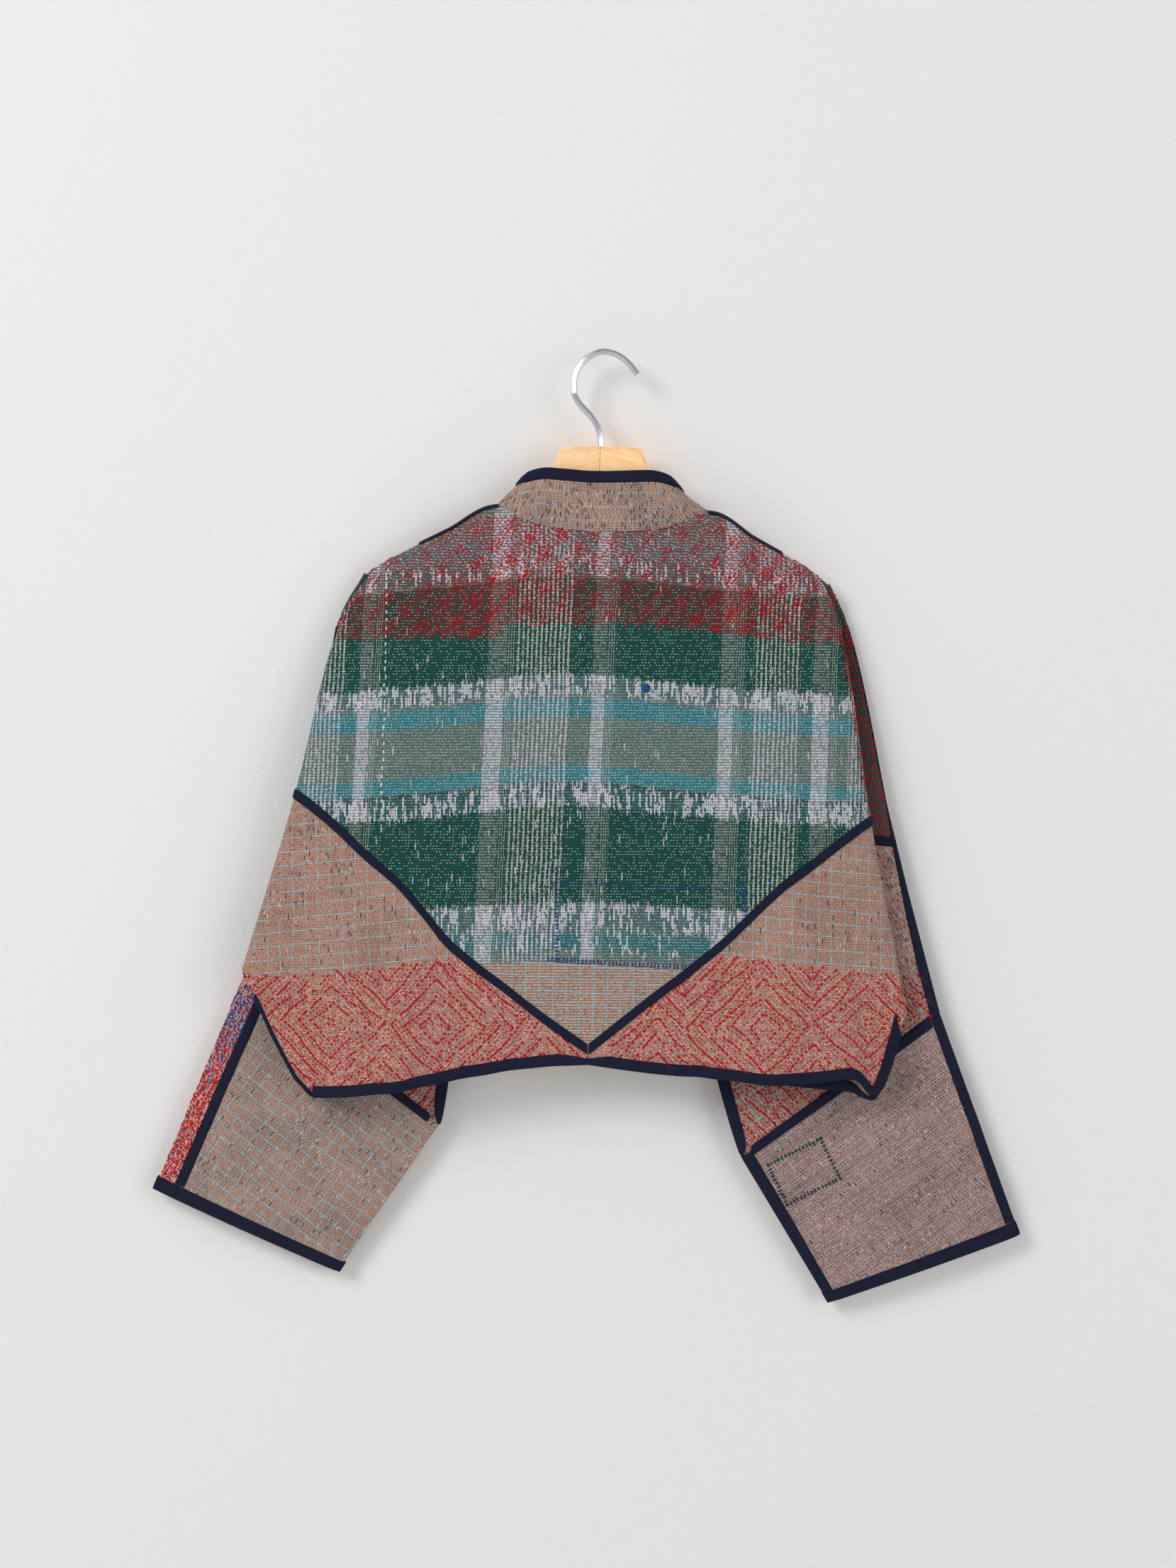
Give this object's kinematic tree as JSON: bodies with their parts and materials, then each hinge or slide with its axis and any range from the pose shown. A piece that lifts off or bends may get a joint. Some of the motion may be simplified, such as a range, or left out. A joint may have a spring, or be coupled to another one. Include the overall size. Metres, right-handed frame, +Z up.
{
  "type": "kantha jacket on a hanger",
  "caption": "Cropped kantha quilt jacket with a plaid back, bound seams and a stand collar, hung by its back on a wooden hanger with a wire hook.",
  "frame": {"origin": "inner top of the hanger's hook, where a nail or rail carries it", "axes": "+Z up, +X to the viewer's right as the jacket's back is seen, -Y towards the viewer"},
  "size_m": [0.8117, 0.0663, 0.8913],
  "materials": {
    "plaid_kantha": "quilted cotton",
    "red_kantha": "stitched cotton",
    "beige_kantha": "quilted cotton",
    "taupe_kantha_left": "quilted cotton",
    "mauve_kantha": "quilted cotton",
    "striped_kantha": "quilted cotton",
    "navy_cotton": "plain cotton",
    "beech": "lacquered",
    "aluminium_wire": "satin"
  },
  "bodies": {
    "root": {"back_yoke": "plaid_kantha", "binding_arm_left": "navy_cotton", "binding_arm_right": "navy_cotton", "binding_centre_front_left": "navy_cotton", "binding_centre_front_right": "navy_cotton", "binding_collar": "navy_cotton", "binding_cuff_left": "navy_cotton", "binding_cuff_overarm_left": "navy_cotton", "binding_cuff_overarm_right": "navy_cotton", "binding_cuff_right": "navy_cotton", "binding_cuff_underarm_left": "navy_cotton", "binding_cuff_underarm_right": "navy_cotton", "binding_diagonal_left": "navy_cotton", "binding_diagonal_right": "navy_cotton", "binding_hem_back": "navy_cotton", "binding_hem_front_left": "navy_cotton", "binding_hem_front_right": "navy_cotton", "binding_joint_back_left": "navy_cotton", "binding_joint_back_right": "navy_cotton", "binding_joint_front_left": "navy_cotton", "binding_joint_front_right": "navy_cotton", "binding_overarm_left": "navy_cotton", "binding_overarm_right": "navy_cotton", "binding_shoulder_left": "navy_cotton", "binding_shoulder_right": "navy_cotton", "binding_side_left": "navy_cotton", "binding_side_right": "navy_cotton", "binding_underarm_left": "navy_cotton", "binding_underarm_right": "navy_cotton", "collar": "striped_kantha", "cuff_back_left": "taupe_kantha_left", "cuff_back_right": "mauve_kantha", "cuff_front_left": "beige_kantha", "cuff_front_right": "beige_kantha", "front_left": "beige_kantha", "front_right": "beige_kantha", "gusset_back_left": "red_kantha", "gusset_back_right": "red_kantha", "hanger_hook": "aluminium_wire", "hanger_wood": "beech"}
  },
  "joints": []
}
